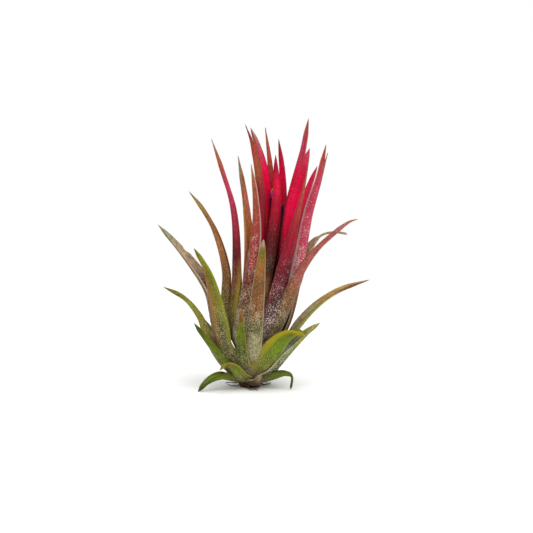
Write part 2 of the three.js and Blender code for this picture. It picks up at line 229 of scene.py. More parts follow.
# From the innermost leaf to the outermost, as in the solid model
leaves = {
    "heart_leaf_01": {
        "turn": -65, "width": 2.4, "taper": 5,
        "path": [(1.4, 14), (3.4, 28), (3.1, 36.5), (0.45, 44.1)],
        # The amber and copper at the base are painted light, brighter than the leaf's own colour against the
        # shade there.
        "face": "0.3 amber, 0.36 copper, 0.42 bark, 0.58 wine, 0.72 ruby, 0.85 crimson, 0.94 ruby",
        "scurf": 1.1, "fade": 0.75,
    },
    "heart_leaf_02": {
        "turn": 160, "width": 3.1, "taper": 5, "twist": -14,
        "path": [(0.8, 14), (0, 24), (0.3, 32.5), (2.8, 43.4), (5.4, 49.1)],
        "face": "0.3 wine, 0.5 chestnut, 0.75 copper, 0.94 rust, 1 plum",
        "channel": "0.3 wine, 0.5 ruby, 0.68 crimson, 0.8 flame, 0.88 rose, 0.95 duskRose, 1 blush",
    },
    "heart_leaf_03": {
        "turn": 50, "width": 2.4, "taper": 3.8,
        "path": [(2, 14), (3.8, 26), (4.2, 34.5), (2.9, 41.2), (0.7, 47)],
        "channel": "0.3 wine, 0.5 ruby, 0.66 crimson, 0.85 flame, 1 garnet",
    },
    "heart_leaf_04": {
        "turn": 28, "width": 3.2, "taper": 3.6,
        "path": [(2.2, 14), (3.9, 27), (5.1, 36.5), (6.2, 45), (6.5, 50.8)],
        "channel": "0.3 wine, 0.5 crimson, 0.7 flame, 0.88 rose, 1 rust",
    },
    "heart_leaf_05": {
        "turn": 52, "sweep": 66, "width": 2.1, "taper": 3,
        "path": [(1.8, 14), (2.1, 27), (2.4, 38), (4.9, 49.1)],
        "channel": "0.4 ruby, 0.7 ruby, 0.85 brick, 0.95 rust, 1 drab",
    },
    "heart_leaf_06": {
        "turn": 238, "sweep": -33, "width": 2.4, "taper": 2.6,
        "path": [(2, 14), (2, 27), (3.2, 37), (5.6, 46.2), (6.7, 49.7)],
        "face": "0.3 wine, 0.5 ruby, 0.7 garnet, 0.8 rust, 0.9 brick, 1 wine",
    },
    "heart_leaf_07": {
        "turn": -52, "sweep": 38, "width": 5, "taper": 4, "twist": 70,
        "path": [(4.2, 12), (5.7, 25), (5.8, 35), (6.6, 45.3)],
        "face": "0.14 bark, 0.26 plum, 0.4 wine, 0.6 ruby, 0.74 brick, 0.84 rust, 0.94 copper, 1 rose",
        "channel": "0.2 plum, 0.4 wine, 0.55 crimson, 0.72 flame, 0.86 crimson, 1 rose",
        "scales": "pearl", "scurf": 0.86, "fade": 0.72,
    },
    "heart_leaf_08": {
        "turn": 38, "width": 3.2, "taper": 3.6,
        "path": [(3.4, 12), (5.6, 21), (8, 33), (10.8, 41.7)],
        "channel": "0.3 wine, 0.6 ruby, 0.8 flame, 1 crimson",
        "scurf": 0.2,
    },
    "heart_leaf_09": {
        "turn": 3, "width": 3.4, "taper": 2.8, "twist": -40,
        "path": [(4.6, 12), (6.8, 23), (7.8, 33.5), (8.9, 39.5), (9.5, 46)],
        "face": "0.2 plum, 0.32 garnet, 0.5 rose, 0.84 rose, 0.94 brick",
        "rim": "pearl", "rimWidth": 0.05, "scales": "pearl", "scurf": 1.25, "fade": 0.95,
    },
    "heart_leaf_10": {"turn": 100, "width": 2.6, "path": [(3.2, 13), (3.6, 22), (4.6, 30), (7.5, 38)]},
    "upright_leaf_01": {
        "turn": 236, "sweep": -6, "width": 4, "taper": 1.6,
        "path": [(5.2, 10), (4.4, 19), (3.6, 30), (4.6, 36), (6.6, 42.6)],
        "face": "0.1 olive, 0.24 bark, 0.4 wine, 0.58 garnet, 0.72 brick, 0.9 rust, 1 gold",
        "rim": "pearl", "rimWidth": 0.09, "scales": "silver", "scurf": 1.12, "fade": 1.2,
    },
    "upright_leaf_02": {
        "turn": 150, "width": 3.6,
        "path": [(3, 12), (3.2, 23), (4.9, 33), (8, 43.8)],
        # Amber and coral are painted light: the blade is brighter than its own colour against the shade
        # behind upright_leaf_01.
        "face": "0.2 moss, 0.36 copper, 0.6 amber, 0.8 copper, 0.92 hay",
        "channel": "0.12 moss, 0.22 amber, 0.66 amber, 0.78 coral, 0.88 copper, 0.96 hay",
        "scurf": 0.6,
    },
    "heart_leaf_11": {
        "turn": 16, "width": 2.4, "taper": 2.2,
        "path": [(4.6, 11), (6.9, 22), (8.6, 34), (10.5, 44.4)],
        "face": "0.2 plum, 0.4 ruby, 0.6 rose, 0.9 rust, 1 gold",
    },
    "upright_leaf_03": {
        "turn": 190, "width": 3.5,
        "path": [(4.6, 11), (5, 22), (6.7, 33.5), (9.6, 41), (12.3, 47.1)],
        "face": "0.12 olive, 0.25 olive, 0.36 chestnut, 0.5 wine, 0.64 garnet, 0.78 rose, 0.92 rust, 1 hay",
        "rim": "mustard", "rimWidth": 0.16, "rimAtTip": 0, "rimReach": 0.5,
    },
    "upright_leaf_04": {"turn": 74, "width": 2.8, "path": [(4.4, 11), (5.2, 19), (6.8, 27), (9, 34.5)]},
    "upright_leaf_05": {"turn": 98, "width": 2.8, "path": [(4.6, 11), (5.6, 18), (8.6, 26), (13, 32)]},
    "upright_leaf_06": {"turn": 50, "width": 2.8, "path": [(4.8, 11), (6, 19), (8.2, 28), (11.2, 35.5)]},
    "spreading_leaf_01": {
        "turn": -38, "sweep": 23, "width": 4.2, "taper": 1.3,
        "path": [(5.9, 14), (8.1, 21), (10.8, 26), (13.8, 29.5), (16.2, 31.8), (17.3, 32.2)],
        "face": "0.16 olive, 0.3 bark, 0.42 chestnut, 0.56 russet, 0.8 russet, 0.9 duskRose, 1 bronze",
        "channel": "0.2 plum, 0.5 brick, 1 brick",
        "scurf": 1.1, "fade": 0.9,
    },
    "spreading_leaf_02": {
        "turn": 176, "width": 3.9,
        "path": [(6, 14), (6.9, 22), (9.6, 29.2), (12.6, 33.8), (15.5, 37.1)],
        "face": "0.12 moss, 0.3 olive, 0.48 chestnut, 0.64 copper, 0.8 bronze, 0.9 gold, 1 olive",
        "channel": "0.2 moss, 0.5 chestnut, 1 bronze",
        "rim": "chestnut", "scurf": 1, "fade": 0.9,
    },
    "dry_leaf_01": {
        "turn": 14, "width": 2.7, "taper": 9, "body": 0.84, "twist": 30, "sheathFlare": -0.2,
        "path": [(5.6, 11), (7.7, 23.5), (10.5, 28.3), (13.2, 29.1), (16.1, 28.7)],
        "face": "0.2 bark, 0.45 chestnut, 0.6 hay, 1 hay",
        "channel": "0.3 bark, 0.5 hay, 0.68 straw, 0.85 hay",
        "rim": "hay", "scurf": 0.9,
    },
    "spreading_leaf_03": {
        "turn": -93.5, "width": 3.6, "taper": 1.5, "shoulder": 0.55,
        "path": [(4.6, 7), (6.6, 13), (7.4, 21), (7.4, 28.7)],
        "face": "0.1 bark, 0.24 sage, 0.4 moss, 0.52 chestnut, 0.7 chestnut, 0.82 bronze, "
                "0.92 olive, 1 straw",
        "rim": "cream", "rimWidth": 0.1, "rimAtTip": 0.9, "scurf": 1.25, "fade": 1,
    },
    "spreading_leaf_04": {
        "turn": 126, "width": 2.8,
        "path": [(5.4, 9.5), (7.2, 16), (8.2, 22.5), (9.2, 29)],
    },
    "spreading_leaf_05": {"turn": 64, "width": 3, "path": [(5.4, 9.5), (7, 16), (10, 22.5), (14.8, 28)]},
    "spreading_leaf_06": {
        "turn": 205, "width": 5, "taper": 2.1,
        "path": [(6.2, 7.5), (7.8, 12.2), (9.5, 17.6), (11.6, 22.8), (14.5, 27)],
        "face": "0.12 drab, 0.4 moss, 0.55 olive, 0.75 olive, 0.9 lime, 1 moss",
        "channel": "0.3 leaf, 1 lime",
        "keel": ("bronze", 0.75), "rim": "lime", "rimWidth": 0.12, "rimAtTip": 0.8, "scurf": 0.9, "fade": 1,
    },
    "dry_leaf_02": {
        "turn": 168, "width": 3.5, "taper": 2.6, "twist": -28, "notchPlace": 0.79,
        "path": [(6.2, 6.5), (8.1, 12.1), (9.9, 17.8), (14.1, 23.3), (21.4, 30.6)],
        "face": "0.2 moss, 0.4 chestnut, 0.8 chestnut, 1 moss",
        "channel": "0.25 olive, 0.58 bark, 0.72 hay, 0.82 hay, 0.93 sage, 1 sage",
        "rim": "cream", "rimWidth": 0.05, "scales": "frost", "scurf": 0.75, "fade": 1.3,
    },
    "spreading_leaf_07": {"turn": 84, "width": 3, "path": [(6, 7), (7.6, 12), (12, 18.5), (19, 23)]},
    "spreading_leaf_08": {"turn": 148, "width": 3, "path": [(6.2, 7), (8, 11), (10, 17), (12.6, 22)]},
    "spreading_leaf_09": {"turn": 40, "width": 3, "path": [(5.8, 6.5), (7.2, 11), (9, 17), (11, 22)]},
    "spreading_leaf_10": {
        "turn": 8, "width": 2.9, "twist": 22,
        "path": [(5, 6.3), (8.3, 11.9), (11.3, 15.4), (15, 18), (20.9, 20.1)],
        "face": "0.2 lime, 0.56 lime, 0.68 gold, 0.84 chestnut, 1 chestnut",
        "channel": "0.2 lime, 0.4 straw, 0.56 straw, 0.68 gold, 0.85 gold, 1 copper",
        "scurf": 1, "fade": 1,
    },
    "basal_leaf_01": {
        "turn": -111, "width": 3,
        "path": [(5.8, 5.5), (7.4, 9), (8.4, 12.5), (9.4, 16)],
        "face": "0.2 drab, 0.5 fern, 0.8 leaf, 0.92 chestnut, 1 copper",
        "scurf": 1.1,
    },
    "basal_leaf_02": {
        "turn": -45, "width": 5.4, "taper": 2.6,
        "path": [(3.2, 4.6), (5.6, 7.7), (7.8, 10.2), (10.2, 11.4), (12.8, 11.2)],
        "face": "0.1 olive, 0.35 leaf, 0.55 grass, 0.8 leaf, 1 mustard",
        "rim": "mustard", "rimWidth": 0.2, "rimAtTip": 1, "scurf": 0.8,
    },
    "basal_leaf_03": {
        "turn": 188, "width": 3.7,
        "path": [(5.2, 4.2), (9.3, 10.2), (11, 13.6), (14.2, 17.1), (18.5, 19.4)],
        "face": "0.15 moss, 0.45 olive, 0.75 lime, 0.92 olive, 1 bark",
        "keel": ("chestnut", 0.7), "rim": "olive", "fade": 1.1,
    },
    "basal_leaf_04": {"turn": 30, "width": 2.8, "path": [(5, 4.2), (7, 7.2), (9.2, 10.4), (11.6, 13)]},
    "basal_leaf_05": {"turn": 156, "width": 2.8, "path": [(5, 4.5), (7.4, 7.5), (10, 10.6), (13, 13.4)]},
    "basal_leaf_06": {"turn": 104, "width": 3, "path": [(5, 4.5), (8, 7.5), (11, 9.6), (14, 10)]},
    "basal_leaf_07": {
        "turn": -18, "width": 3.5, "taper": 2.2, "twist": 40,
        "path": [(3.8, 3.2), (6.6, 6.9), (9.7, 10.4), (12.5, 12.8)],
        "face": "0.15 moss, 0.5 leaf, 0.75 lime, 1 lime",
        # The frost channel is partly real silvery scurf and partly painted light, whitened against the shade
        # of basal_leaf_02.
        "channel": "0.1 frost, 0.45 frost, 0.6 sage, 0.76 lime, 1 straw",
        "rim": "silver", "rimWidth": 0.03, "scales": "frost", "fade": 1.3,
    },
    "basal_leaf_08": {
        "turn": 205, "width": 3.6,
        "path": [(4.6, 3.6), (7.4, 6.8), (10.2, 9.7), (13, 13)],
        "face": "0.15 fern, 0.7 leaf, 1 fern",
        "rim": "fern",
    },
    "basal_leaf_09": {"turn": 66, "width": 3, "path": [(4.6, 3), (7.2, 5), (10, 6.8), (12.6, 7)]},
    "basal_leaf_10": {"turn": 240, "width": 3, "path": [(4.6, 2.8), (7, 4.6), (9.6, 5.6), (12, 4.8)]},
    "foot_leaf_01": {
        "turn": -25, "width": 3.4, "taper": 2.5, "body": 0.78,
        "path": [(3.9, 2.1), (6.5, 2.9), (8.3, 2.6), (8.4, 0.05)],
    },
    "foot_leaf_02": {
        "turn": 212, "width": 2.8, "taper": 3,
        "path": [(3.6, 1.8), (6.4, 2.6), (9.2, 1.9), (11.4, 0.05)],
    },
    "foot_leaf_03": {
        "turn": 92, "width": 2.8, "taper": 3,
        "path": [(3.6, 1.8), (6.4, 2.6), (9.2, 1.9), (11.4, 0.05)],
    },
    "dry_leaf_03": {
        "turn": -72, "width": 3, "thickness": 0.5, "waviness": 0.2,
        "path": [(3.2, 1.3), (4.5, 1.8), (5.9, 3.2)],
    },
    "dry_leaf_04": {
        "turn": 34, "width": 3, "thickness": 0.5, "waviness": 0.2,
        "path": [(3.2, 1.2), (4.5, 1.6), (6.2, 2.6)],
    },
    "dry_leaf_05": {
        "turn": 152, "width": 3, "thickness": 0.5, "waviness": 0.2,
        "path": [(3.2, 1.3), (4.5, 1.9), (5.8, 3.4)],
    },
}

# What a leaf has where neither it nor its kind says otherwise. Shares run along the blade, from 0 at
# the stem to 1 at the tip; sizes are in millimetres, and turns in degrees.
blade = {
    "thickness": 0.8,
    "threadWidth": 0.16,
    "dryThread": 0.4,
    "taper": 1.8,
    "shoulder": 0.9,
    "body": 1,
    "sweep": 0,
    "twist": 0,
    "twistShare": 0.8,
    "sheathShare": 0.3,
    "sheathFlare": 0.3,
    "openDepth": 0.26,
    "rolledDepth": 0.55,
    "rolledShare": 0.45,
    "waviness": 0.07,
    "waves": 5.0,
    "stationSpacing": 0.45,
    "fewestStations": 24,
    "sides": 24,
    "pointShare": 1e-5,  # closer to an end than this, the section shrinks to a point
    "sharpFold": 50,
    "notchPlace": 2,  # past the tip, so that only a leaf with a place of its own is notched
    "notchReach": 0.03,
    "notchDepth": 0.5,
    "rimAtStem": 0.8,
    "rimAtTip": 0.3,
    "rimReach": 1,
    "keel": ("bark", 0),
    "mottle": 0.3,
    "ribs": 22,
}

# The raised scales: low cones, sunk a little, that lean and vary in size. Their proportions are shares
# of their size, and their leans are in radians.
flake = {
    "size": 0.095,
    "smallest": 0.6,
    "largest": 1.25,
    "perSquare": 26,
    "thinningStart": 0.1,
    "fade": 0.75,
    "corners": 4,
    "radius": 0.5,
    "height": 0.4,
    "sunk": (0.0, 0.0, -0.1),
    "stretch": (0.9, 1.2, 1.0),
    "leastLean": (0.0, -0.45, -0.9),
    "mostLean": (0.5, 0.45, 0.9),
    "seedStep": 7,  # so that the sizes and the leans are drawn apart
    "speckleScale": 2500.0,
    "tones": ("silver", "blush", "frost", "pearl"),
}


def onAxis(distance, bearing, height):
    # A point in metres at a distance, bearing and height, moved along with the leaning axis
    drift = math.tan(math.radians(rosette["axisLean"])) * height
    x = drift + distance * math.cos(bearing)
    return Vector((x, distance * math.sin(bearing), height)) * mm


def midribPoints(leaf, rank):
    rootHeight = lerp(rosette["rootOutermost"], rosette["rootInnermost"], rank ** rosette["rootClimb"])
    path = [(rosette["rootDistance"], rootHeight), *leaf["path"]]
    last = len(path) - 1
    return [
        onAxis(distance, math.radians(leaf["turn"] + leaf["sweep"] * (i / last) ** 2), height)
        for i, (distance, height) in enumerate(path)
    ]


def midribCurve(name, points):
    # A Bezier curve through the points, with the handles of a centripetal Catmull-Rom spline
    curve = bpy.data.curves.new(name, "CURVE")
    curve.dimensions = "3D"
    curve.resolution_u = 32
    spline = curve.splines.new("BEZIER")
    spline.bezier_points.add(len(points) - 1)
    ends = [2 * points[0] - points[1], *points, 2 * points[-1] - points[-2]]
    for knot, point in zip(spline.bezier_points, points):
        knot.handle_left_type = knot.handle_right_type = "FREE"
        knot.co = knot.handle_left = knot.handle_right = point
    for i in range(len(points) - 1):
        before, start, end, after = ends[i:i + 4]
        first, middle, third = [math.sqrt((b - a).length) for a, b in
                                ((before, start), (start, end), (end, after))]
        leaving = (start - before) / first - (end - before) / (first + middle) + (end - start) / middle
        arriving = (end - start) / middle - (after - start) / (middle + third) + (after - end) / third
        spline.bezier_points[i].handle_right = start + leaving * middle / 3
        spline.bezier_points[i + 1].handle_left = end - arriving * middle / 3
    return curve


def buildLeafTree():
    # The midrib curve comes in, and a closed channelled blade with its scales comes out
    tree, wires, given, result = newTree("channelledLeaf", "GeometryNodeTree", {
        "NodeSocketGeometry": ["Midrib"],
        "NodeSocketFloat": [
            "Width", "Thickness", "Thread Width", "Taper", "Shoulder", "Body", "Turn", "Sweep",
            "Twist", "Twist Share", "Sheath Share", "Sheath Flare", "Open Depth", "Rolled Depth",
            "Rolled Share", "Waviness", "Waves", "Notch Place", "Notch Reach", "Notch Depth",
            "Scale Size", "Scales Per Square", "Scale Fade"],
        "NodeSocketInt": ["Stations", "Sides", "Seed"],
        "NodeSocketMaterial": ["Blade Material", "Scale Material"],
    }, {"NodeSocketGeometry": ["Leaf"]})
    add, maths, vectors, mapped = wires.add, wires.maths, wires.vectors, wires.mapped
    plus, minus, times, divided = wires.plus, wires.minus, wires.times, wires.divided

    # A grid whose columns run round the section and whose rows run along the leaf
    columns = plus(given["Sides"], 1)
    grid = add("GeometryNodeMeshGrid", inputs={"Vertices X": columns, "Vertices Y": given["Stations"]})
    around, share, _ = wires.split(grid.outputs["UV Map"])
    midrib = add("GeometryNodeSampleCurve", {"mode": "FACTOR"},
                 {"Curves": given["Midrib"], "Factor": share})
    along = midrib.outputs["Tangent"]

    # Across and inward, square to the midrib, turned by the twist
    swept = times(given["Sweep"], times(share, share))
    bearing = maths("RADIANS", plus(given["Turn"], swept))
    level = add("ShaderNodeCombineXYZ", inputs={
        0: times(maths("SINE", bearing), -1.0), 1: maths("COSINE", bearing)}).outputs[0]
    inwardFlat = vectors("NORMALIZE", vectors("CROSS_PRODUCT", along, level))
    acrossFlat = vectors("NORMALIZE", vectors("CROSS_PRODUCT", inwardFlat, along))
    twisted = maths("MINIMUM", 1.0, divided(share, given["Twist Share"]))
    turned = maths("RADIANS", times(given["Twist"], twisted))
    across, inward = [
        add("ShaderNodeVectorRotate", {"rotation_type": "AXIS_ANGLE"},
            {"Vector": flat, "Axis": along, "Angle": turned}).outputs[0]
        for flat in (acrossFlat, inwardFlat)
    ]

    # The section's span and depth at this share
    sheath = maths("MAXIMUM", 0.0, minus(1.0, divided(share, given["Sheath Share"])))
    worn = maths("POWER", maths("MINIMUM", 1.0, divided(share, given["Body"])), given["Taper"])
    tapered = maths("POWER", minus(1.0, worn), given["Shoulder"])
    flare = times(given["Sheath Flare"], times(sheath, sheath))
    fullSpan = times(given["Width"], plus(tapered, flare))
    between = times(maths("GREATER_THAN", share, blade["pointShare"]),
                    maths("LESS_THAN", share, 1 - blade["pointShare"]))
    wander = add("ShaderNodeTexNoise", {"noise_dimensions": "4D"}, {
        "Vector": grid.outputs["UV Map"], "W": given["Seed"], "Scale": given["Waves"], "Detail": 2.0})
    waves = vectors("SCALE", vectors("SUBTRACT", wander.outputs["Color"], (0.5, 0.5, 0.5)),
                    given["Waviness"])
    widthWave, rippleWave, _ = wires.split(waves)
    spread = plus(fullSpan, times(widthWave, 2.0))
    span = times(between, maths("MAXIMUM", given["Thread Width"], spread))
    thickness = maths("MINIMUM", given["Thickness"], span)
    rolled = mapped(share, 0.0, given["Rolled Share"], given["Open Depth"], given["Rolled Depth"])
    depth = maths("MAXIMUM", thickness, times(span, rolled))

    # Round the section: the outer face from margin to margin, then back along the channel
    angle = times(around, 2 * math.pi)
    bulge = maths("ABSOLUTE", maths("SINE", angle))
    inside = maths("GREATER_THAN", around, 0.5)
    fall = times(bulge, minus(depth, times(inside, thickness)))
    gap = divided(maths("ABSOLUTE", minus(share, given["Notch Place"])), given["Notch Reach"])
    torn = times(given["Notch Depth"], maths("MAXIMUM", 0.0, minus(1.0, gap)))
    leftwards = maths("COSINE", angle)
    kept = minus(leftwards, times(maths("MAXIMUM", 0.0, leftwards), torn))
    sideways = times(times(span, -0.5), kept)
    upwards = minus(times(depth, 0.5), fall)
    ripple = times(times(rippleWave, between), minus(1.0, bulge))
    offset = vectors("ADD", vectors("SCALE", across, sideways),
                     vectors("SCALE", inward, plus(upwards, ripple)))
    point = vectors("ADD", midrib.outputs["Position"], offset)

    # Shape the grid, keep its map, close the seam and both ends
    mapStored = add("GeometryNodeStoreNamedAttribute", {"data_type": "FLOAT2", "domain": "CORNER"},
                    {"Geometry": grid.outputs["Mesh"], "Name": "leafMap", "Value": grid.outputs["UV Map"]})
    grained = add("GeometryNodeStoreNamedAttribute", {"data_type": "FLOAT_VECTOR", "domain": "POINT"},
                  {"Geometry": mapStored.outputs[0], "Name": "grain", "Value": along})
    shaped = add("GeometryNodeSetPosition", inputs={"Geometry": grained.outputs[0], "Position": point})
    closed = add("GeometryNodeMergeByDistance", inputs={"Geometry": shaped.outputs[0], "Distance": 2e-7})
    faced = add("GeometryNodeFlipFaces", inputs={"Mesh": closed.outputs[0]}).outputs[0]
    edge = add("GeometryNodeInputMeshEdgeAngle")
    gentle = maths("LESS_THAN", edge.outputs["Unsigned Angle"], math.radians(blade["sharpFold"]))
    smooth = add("GeometryNodeSetShadeSmooth", {"domain": "EDGE"},
                 {"Geometry": faced, "Shade Smooth": gentle})
    skinned = add("GeometryNodeSetMaterial",
                  inputs={"Geometry": smooth.outputs[0], "Material": given["Blade Material"]})

    # Scales: small low cones, tip towards the leaf's tip, thickest near the stem
    stored, grain = [
        add("GeometryNodeInputNamedAttribute", {"data_type": "FLOAT_VECTOR"},
            {"Name": name}).outputs["Attribute"]
        for name in ("leafMap", "grain")
    ]
    crowd = mapped(wires.split(stored)["Y"], flake["thinningStart"], given["Scale Fade"], 1.0, 0.0,
                   smooth=True)
    scatter = add("GeometryNodeDistributePointsOnFaces", {"distribute_method": "RANDOM"}, {
        "Mesh": faced, "Density": times(given["Scales Per Square"], crowd),
        "Seed": given["Seed"]})
    lean = add("FunctionNodeAxesToRotation", {"primary_axis": "Z", "secondary_axis": "Y"},
               {0: scatter.outputs["Normal"], 1: grain})
    jitter = add("FunctionNodeRandomValue", {"data_type": "FLOAT_VECTOR"},
                 {0: flake["leastLean"], 1: flake["mostLean"], "Seed": given["Seed"]})
    tilted = add("FunctionNodeRotateRotation", {"rotation_space": "LOCAL"},
                 {"Rotation": lean.outputs[0], "Rotate By": jitter.outputs[0]})
    cone = add("GeometryNodeMeshCone", {"fill_type": "NGON"}, {
        "Vertices": flake["corners"], "Side Segments": 1, "Fill Segments": 1, "Radius Top": 0.0,
        "Radius Bottom": flake["radius"], "Depth": flake["height"]})
    sunk = add("GeometryNodeTransform", inputs={
        "Geometry": cone.outputs["Mesh"], "Translation": flake["sunk"], "Scale": flake["stretch"]})
    size = add("FunctionNodeRandomValue", {"data_type": "FLOAT"}, {
        2: flake["smallest"], 3: flake["largest"], "Seed": plus(given["Seed"], flake["seedStep"])})
    placed = add("GeometryNodeInstanceOnPoints", inputs={
        "Points": scatter.outputs["Points"], "Instance": sunk.outputs[0],
        "Rotation": tilted.outputs[0],
        "Scale": times(given["Scale Size"], size.outputs[1])})
    realized = add("GeometryNodeRealizeInstances", inputs={"Geometry": placed.outputs[0]})
    scales = add("GeometryNodeSetMaterial",
                 inputs={"Geometry": realized.outputs[0], "Material": given["Scale Material"]})
    joined = add("GeometryNodeJoinGeometry")
    for part in (scales, skinned):
        tree.links.new(part.outputs[0], joined.inputs[0])
    wires.fill(result, {"Leaf": joined.outputs[0]})
    return tree


# Finishes

# The leaf skin's patterns. Scales are repeats in a metre, streaks and veins are repeats round or along
# a leaf, and a pair is where an effect starts and ends, or its least and its most.
skin = {
    "channelEdge": (-0.12, 0.12),
    "keelSpan": (0.25, 0.8),
    "patchScale": 1100.0,
    "patchDetail": 4.0,
    "streaksAcross": 30.0,
    "streaksAlong": 3.0,
    "blotchSpan": (0.7, 1.3),
    "fleckScale": 5200.0,
    "fleckSpan": (0.35, 0.65),
    "fleckShades": (0.72, 1.28),
    "rimStart": 0.3,
    "speckScale": 6000.0,
    "speckReach": (-0.55, 0.2),
    "speckLuck": 0.6,
    "speckEdge": 0.14,
    "speckCover": 0.9,
    "driftScale": 500.0,
    "driftStrength": 1.8,
    "scurfStart": 0.05,
    "scurfAtTip": 0.3,
    "powder": 0.04,
    "roughness": (0.48, 0.85),
    "ribHeight": 0.14,
    "speckHeight": 0.8,
    "blotchHeight": 0.35,
    "veinsAcross": 14.0,
    "raggedness": 0.16,
}


def leafMap(wires):
    # Where a point is on the blade: its share of the way round the section, and along from the stem
    return wires.split(wires.add("ShaderNodeUVMap", {"uv_map": "leafMap"}).outputs[0])[:2]


def buildSurfaceTree():
    # What every leaf shares: mottling, a keel tint, a rim (painted edge shade when dark, pale scurf when
    # pale), fine ribs along the blade, and scurf
    tree, wires, given, result = newTree("leafSurface", "ShaderNodeTree", {
        "NodeSocketColor": ["Face", "Channel", "Keel", "Rim", "Scurf"],
        "NodeSocketFloat": [
            "Keel Strength", "Mottle", "Rim Width", "Rim At Stem", "Rim At Tip", "Rim Reach",
            "Scurf Cover", "Scurf Fade", "Ribs"],
    }, {"NodeSocketColor": ["Colour"], "NodeSocketFloat": ["Roughness", "Height"]})
    add, maths, vectors, clouds = wires.add, wires.maths, wires.vectors, wires.clouds
    plus, minus, times, mapped, mixed = wires.plus, wires.minus, wires.times, wires.mapped, wires.mixed
    around, share = leafMap(wires)
    where = add("ShaderNodeTexCoord").outputs["Object"]
    angle = times(around, 2 * math.pi)
    inner = mapped(times(maths("SINE", angle), -1.0), *skin["channelEdge"], smooth=True)
    margin = minus(1.0, maths("ABSOLUTE", maths("COSINE", angle)))
    keel = mapped(margin, *skin["keelSpan"], 0.0, given["Keel Strength"], smooth=True)
    base = mixed(inner, mixed(keel, given["Face"], given["Keel"]), given["Channel"])

    # Mottling in patches and in streaks along the blade, with finer flecks
    patches = clouds(where, skin["patchScale"], skin["patchDetail"])
    streakMap = add("ShaderNodeCombineXYZ", inputs={
        0: times(around, skin["streaksAcross"]), 1: times(share, skin["streaksAlong"])})
    blotch = plus(patches, clouds(streakMap.outputs[0], 1.0, 2.0))
    shade = mapped(blotch, *skin["blotchSpan"], minus(1.0, given["Mottle"]), plus(1.0, given["Mottle"]))
    fleck = mapped(clouds(where, skin["fleckScale"], 1.0), *skin["fleckSpan"], *skin["fleckShades"])
    mottled = vectors("SCALE", vectors("SCALE", base, shade), fleck)

    # The rim, where the blade thins out at its margins: painted shade where its colour is dark, scurf where
    # it is pale
    strength = mapped(share, skin["rimStart"], given["Rim Reach"], given["Rim At Stem"], given["Rim At Tip"])
    rimmed = mapped(margin, 0.0, given["Rim Width"], strength, 0.0, smooth=True)
    edged = mixed(rimmed, mottled, given["Rim"])

    # Scurf: separate scales about a sixth of a millimetre across, dense near the stem, then thinning out
    dots = add("ShaderNodeTexVoronoi", inputs={"Vector": where, "Scale": skin["speckScale"]})
    drift = clouds(where, skin["driftScale"], 3.0)
    tail = times(given["Scurf Cover"], skin["scurfAtTip"])
    thinning = mapped(share, skin["scurfStart"], given["Scurf Fade"], given["Scurf Cover"], tail,
                      smooth=True)
    cover = times(thinning, times(drift, skin["driftStrength"]))
    luck = add("ShaderNodeSeparateColor", inputs={0: dots.outputs["Color"]}).outputs[0]
    radius = plus(mapped(cover, 0.0, 1.0, *skin["speckReach"]), times(luck, skin["speckLuck"]))
    speck = mapped(minus(radius, dots.outputs["Distance"]), 0.0, skin["speckEdge"], smooth=True)
    powdered = mixed(times(cover, skin["powder"]), edged, given["Scurf"])
    dusted = mixed(times(speck, skin["speckCover"]), powdered, given["Scurf"])

    ribs = maths("SINE", times(angle, given["Ribs"]))
    relief = plus(times(ribs, skin["ribHeight"]), times(speck, skin["speckHeight"]))
    wires.fill(result, {
        "Colour": dusted,
        "Roughness": mapped(speck, 0.0, 1.0, *skin["roughness"]),
        "Height": plus(relief, times(blotch, skin["blotchHeight"])),
    })
    return tree


def newMaterial(name):
    material = bpy.data.materials.new(name)
    material.use_nodes = True
    return material, wiring(material.node_tree), material.node_tree.nodes["Principled BSDF"]


def leafMaterial(name, look, surface):
    material, wires, principled = newMaterial(name + "_skin")
    add, times = wires.add, wires.times
    around, share = leafMap(wires)
    veinMap = add("ShaderNodeCombineXYZ", inputs={
        0: times(around, skin["veinsAcross"]), 1: share, 2: float(look["seed"])})
    veins = wires.clouds(veinMap.outputs[0], 1.0, 2.0)
    # The colours run unevenly, further along some of the leaf's veins than others
    ragged = wires.plus(share, times(wires.minus(veins, 0.5), skin["raggedness"]))
    keel, keelStrength = look["keel"]
    finish = add("ShaderNodeGroup", {"node_tree": surface}, {
        "Face": wires.ramp(look["face"], ragged), "Channel": wires.ramp(look["channel"], ragged),
        "Keel": colour(keel), "Keel Strength": keelStrength, "Mottle": look["mottle"],
        "Rim": colour(look["rim"]), "Rim Width": look["rimWidth"], "Rim At Stem": look["rimAtStem"],
        "Rim At Tip": look["rimAtTip"], "Rim Reach": look["rimReach"], "Scurf": colour(look["scales"]),
        "Scurf Cover": look["scurf"], "Scurf Fade": look["fade"], "Ribs": look["ribs"]})
    bump = add("ShaderNodeBump", inputs={
        "Height": finish.outputs["Height"], "Distance": 0.00005, "Strength": 0.7})
    wires.fill(principled, {
        "Base Color": finish.outputs["Colour"], "Roughness": finish.outputs["Roughness"],
        "Normal": bump.outputs[0], "Specular IOR Level": 0.1, "Subsurface Weight": 0.1,
        "Subsurface Radius": (1.0, 0.4, 0.25), "Subsurface Scale": 0.0005})
    return material


def scaleMaterial(tone):
    material, wires, principled = newMaterial(tone + "_scales")
    where = wires.add("ShaderNodeTexCoord").outputs["Object"]
    speckle = wires.clouds(where, flake["speckleScale"], 2.0)
    wires.fill(principled, {
        "Base Color": wires.mixed(speckle, colour(tone), colour("hay")),
        "Roughness": 0.8, "Specular IOR Level": 0.15})
    return material


